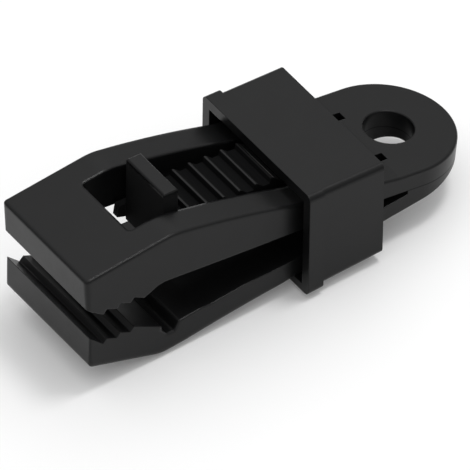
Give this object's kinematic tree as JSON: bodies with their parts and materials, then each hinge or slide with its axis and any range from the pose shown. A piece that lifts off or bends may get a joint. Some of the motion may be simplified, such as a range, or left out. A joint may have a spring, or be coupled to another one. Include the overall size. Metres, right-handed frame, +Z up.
{
  "type": "tarp clip",
  "caption": "Moulded tarp clip: toothed jaws joined at an eyelet, a ratchet tongue with a release tab, and a flanged collar that slides forward to lock the jaws.",
  "frame": {"origin": "on the axis of the eyelet's bore, near the middle of the eyelet's thickness", "axes": "+X along the collar's slide, from the eyelet to the jaw tips, +Y across the clip, +Z up, to the side with the release tab; the eyelet's bore leans back from +Z by 5.5 degrees"},
  "size_m": [0.1099, 0.0432, 0.0374],
  "materials": {
    "upper_moulding": "black nylon, satin, lightly worn in handling",
    "lower_moulding": "black nylon, satin",
    "collar_moulding": "black nylon, satin"
  },
  "bodies": {
    "eyelet": {"eyelet_upper": "upper_moulding", "eyelet_lower": "lower_moulding"},
    "upper_arm": {"upper_jaw": "upper_moulding"},
    "lower_arm": {"lower_jaw": "lower_moulding"},
    "tongue": {"release_tongue": "upper_moulding"},
    "collar": {"lock_collar": "collar_moulding"}
  },
  "joints": [
    {"name": "collar_slide", "type": "slide", "parent": "eyelet", "child": "collar", "axis": [1, 0, 0], "range_m": [0, 0.014]},
    {"name": "upper_jaw_close", "type": "hinge", "parent": "eyelet", "child": "upper_arm", "pos_m": [0.0159, 0, 0.0028], "axis": [0, 1, 0], "range_deg": [0, 2.4]},
    {"name": "lower_jaw_close", "type": "hinge", "parent": "eyelet", "child": "lower_arm", "pos_m": [0.0159, 0, -0.0047], "axis": [0, -1, 0], "range_deg": [0, 3.2]},
    {"name": "tongue_press", "type": "hinge", "parent": "eyelet", "child": "tongue", "pos_m": [0.0159, 0, 0.0028], "axis": [0, 1, 0], "range_deg": [0, 4], "stiffness_Nm_per_rad": 1}
  ],
  "couplings": [
    {"joint": "upper_jaw_close", "follows": "collar_slide", "rad_per_m": 2.992},
    {"joint": "lower_jaw_close", "follows": "collar_slide", "rad_per_m": 3.9893}
  ]
}
